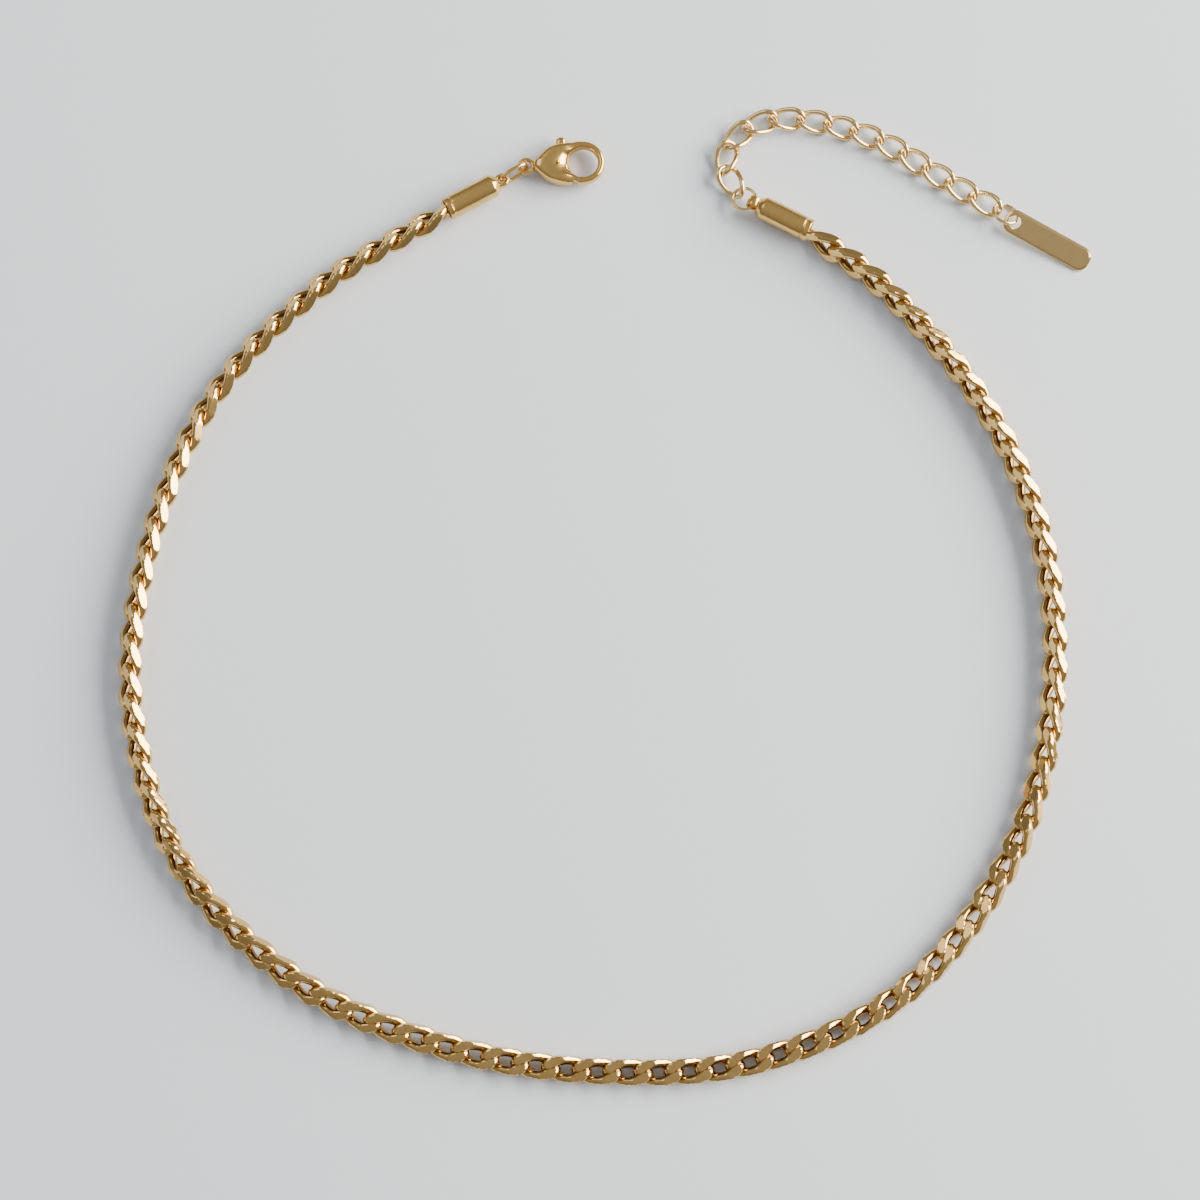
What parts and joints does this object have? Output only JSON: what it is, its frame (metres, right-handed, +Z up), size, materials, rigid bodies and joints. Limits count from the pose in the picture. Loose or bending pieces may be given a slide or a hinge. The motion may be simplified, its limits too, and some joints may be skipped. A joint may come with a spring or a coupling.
{
  "type": "charm anklet",
  "caption": "Curb-chain anklet with a lobster clasp, and an extender chain that ends in a small flat tag, lying open in a loop.",
  "frame": {"origin": "on the surface that the anklet lies on, below the middle of the whole laid-out piece", "axes": "+Z up from the surface, +Y towards the open end with the clasp and the extender, +X to the right as seen from above with the open end at the top"},
  "size_m": [0.0908, 0.092, 0.0025],
  "materials": {
    "polished_gold": "polished gold-coloured plating",
    "pale_gold": "polished pale gold-coloured plating"
  },
  "bodies": {
    "body": {"chain_left": "polished_gold", "chain_right": "polished_gold", "end_cap_left": "polished_gold", "end_cap_right": "polished_gold", "connector_link": "polished_gold", "clasp_body": "polished_gold", "cap_jump_ring": "pale_gold", "extender_link_01": "pale_gold", "extender_link_02": "pale_gold", "extender_link_03": "pale_gold", "extender_link_04": "pale_gold", "extender_link_05": "pale_gold", "extender_link_06": "pale_gold", "extender_link_07": "pale_gold", "extender_link_08": "pale_gold", "extender_link_09": "pale_gold", "extender_link_10": "pale_gold", "extender_link_11": "pale_gold", "extender_link_12": "pale_gold", "extender_link_13": "pale_gold", "tag_jump_ring": "pale_gold", "tag": "pale_gold"},
    "lever": {"clasp_lever": "polished_gold"}
  },
  "joints": [
    {"name": "lever_hinge", "type": "hinge", "parent": "body", "child": "lever", "pos_m": [-0.00504, 0.04016, 0.00095], "axis": [0, 0, 1], "range_deg": [0, 24], "stiffness_Nm_per_rad": 0.0004, "springref_deg": -20.05}
  ]
}
